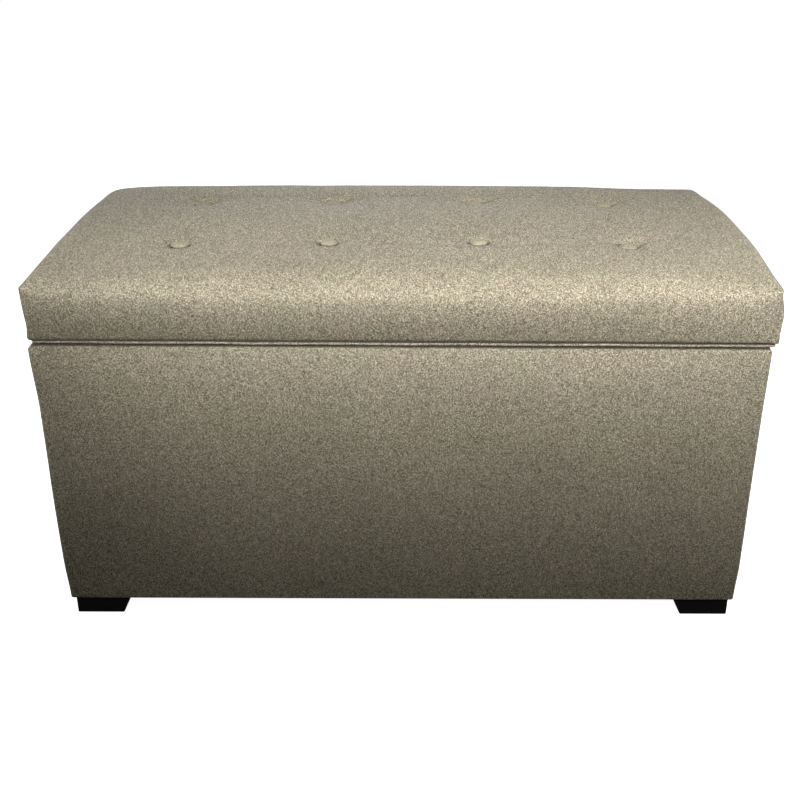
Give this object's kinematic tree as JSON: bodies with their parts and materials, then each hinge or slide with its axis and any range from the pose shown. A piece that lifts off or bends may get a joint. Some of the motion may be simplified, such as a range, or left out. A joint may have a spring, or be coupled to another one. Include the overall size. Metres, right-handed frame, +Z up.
{
  "type": "storage bench",
  "caption": "Upholstered storage bench: a fabric covered box on low block feet, with a button tufted lid cushion that tips up on a continuous hinge and two slotted stays.",
  "frame": {"origin": "on the floor, under the middle of the bench's overall box", "axes": "+X along the bench's length to the right as seen from the front, +Y to the back, where the hinge is, +Z up"},
  "size_m": [0.914, 0.4638, 0.5],
  "materials": {
    "upholstery": "heathered woven fabric with a soft sheen",
    "lining": "plain woven lining",
    "dust_cover": "black spun cloth",
    "wadding": "loose polyester wadding",
    "foam": "open cell foam",
    "plywood": "sanded plywood",
    "black_feet": "black satin lacquer",
    "steel": "zinc plated steel"
  },
  "bodies": {
    "body": {"front_panel": "plywood", "back_panel": "plywood", "left_side_panel": "plywood", "right_side_panel": "plywood", "floor_panel": "plywood", "front_left_post": "plywood", "front_right_post": "plywood", "back_left_post": "plywood", "back_right_post": "plywood", "front_left_foot": "black_feet", "front_right_foot": "black_feet", "back_left_foot": "black_feet", "back_right_foot": "black_feet", "front_left_foot_screw": "steel", "front_right_foot_screw": "steel", "back_left_foot_screw": "steel", "back_right_foot_screw": "steel", "front_padding": "wadding", "back_padding": "wadding", "left_padding": "wadding", "right_padding": "wadding", "body_cover": "upholstery", "storage_lining": "lining", "base_dust_cover": "dust_cover", "hinge_body_leaf": "steel", "hinge_pin": "steel", "hinge_body_screw_1": "steel", "hinge_body_screw_2": "steel", "hinge_body_screw_3": "steel", "hinge_body_screw_4": "steel", "left_stay_stud": "steel", "right_stay_stud": "steel"},
    "lid": {"lid_board": "plywood", "seat_foam": "foam", "lid_cover": "upholstery", "lid_piping": "upholstery", "lid_lining": "lining", "tufting_button_1": "upholstery", "tufting_button_2": "upholstery", "tufting_button_3": "upholstery", "tufting_button_4": "upholstery", "tufting_button_5": "upholstery", "tufting_button_6": "upholstery", "tufting_button_7": "upholstery", "tufting_button_8": "upholstery", "hinge_lid_leaf": "steel", "hinge_lid_screw_1": "steel", "hinge_lid_screw_2": "steel", "hinge_lid_screw_3": "steel", "hinge_lid_screw_4": "steel", "left_stay_bracket": "steel", "left_stay_rivet": "steel", "left_bracket_screw_1": "steel", "left_bracket_screw_2": "steel", "right_stay_bracket": "steel", "right_stay_rivet": "steel", "right_bracket_screw_1": "steel", "right_bracket_screw_2": "steel"},
    "left_arm": {"left_stay_arm": "steel"},
    "right_arm": {"right_stay_arm": "steel"}
  },
  "joints": [
    {"name": "lid_hinge", "type": "hinge", "parent": "body", "child": "lid", "pos_m": [0, 0.22875, 0.401], "axis": [-1, 0, 0], "range_deg": [0, 95]},
    {"name": "left_stay_pivot", "type": "hinge", "parent": "lid", "child": "left_arm", "pos_m": [-0.42175, 0.06963, 0.38427], "axis": [-1, 0, 0], "range_deg": [-48, 0.5]},
    {"name": "right_stay_pivot", "type": "hinge", "parent": "lid", "child": "right_arm", "pos_m": [0.42175, 0.06963, 0.38427], "axis": [-1, 0, 0], "range_deg": [-48, 0.5]}
  ],
  "couplings": [
    {"joint": "left_stay_pivot", "follows": "lid_hinge", "ratio": -0.5},
    {"joint": "right_stay_pivot", "follows": "lid_hinge", "ratio": -0.5}
  ]
}
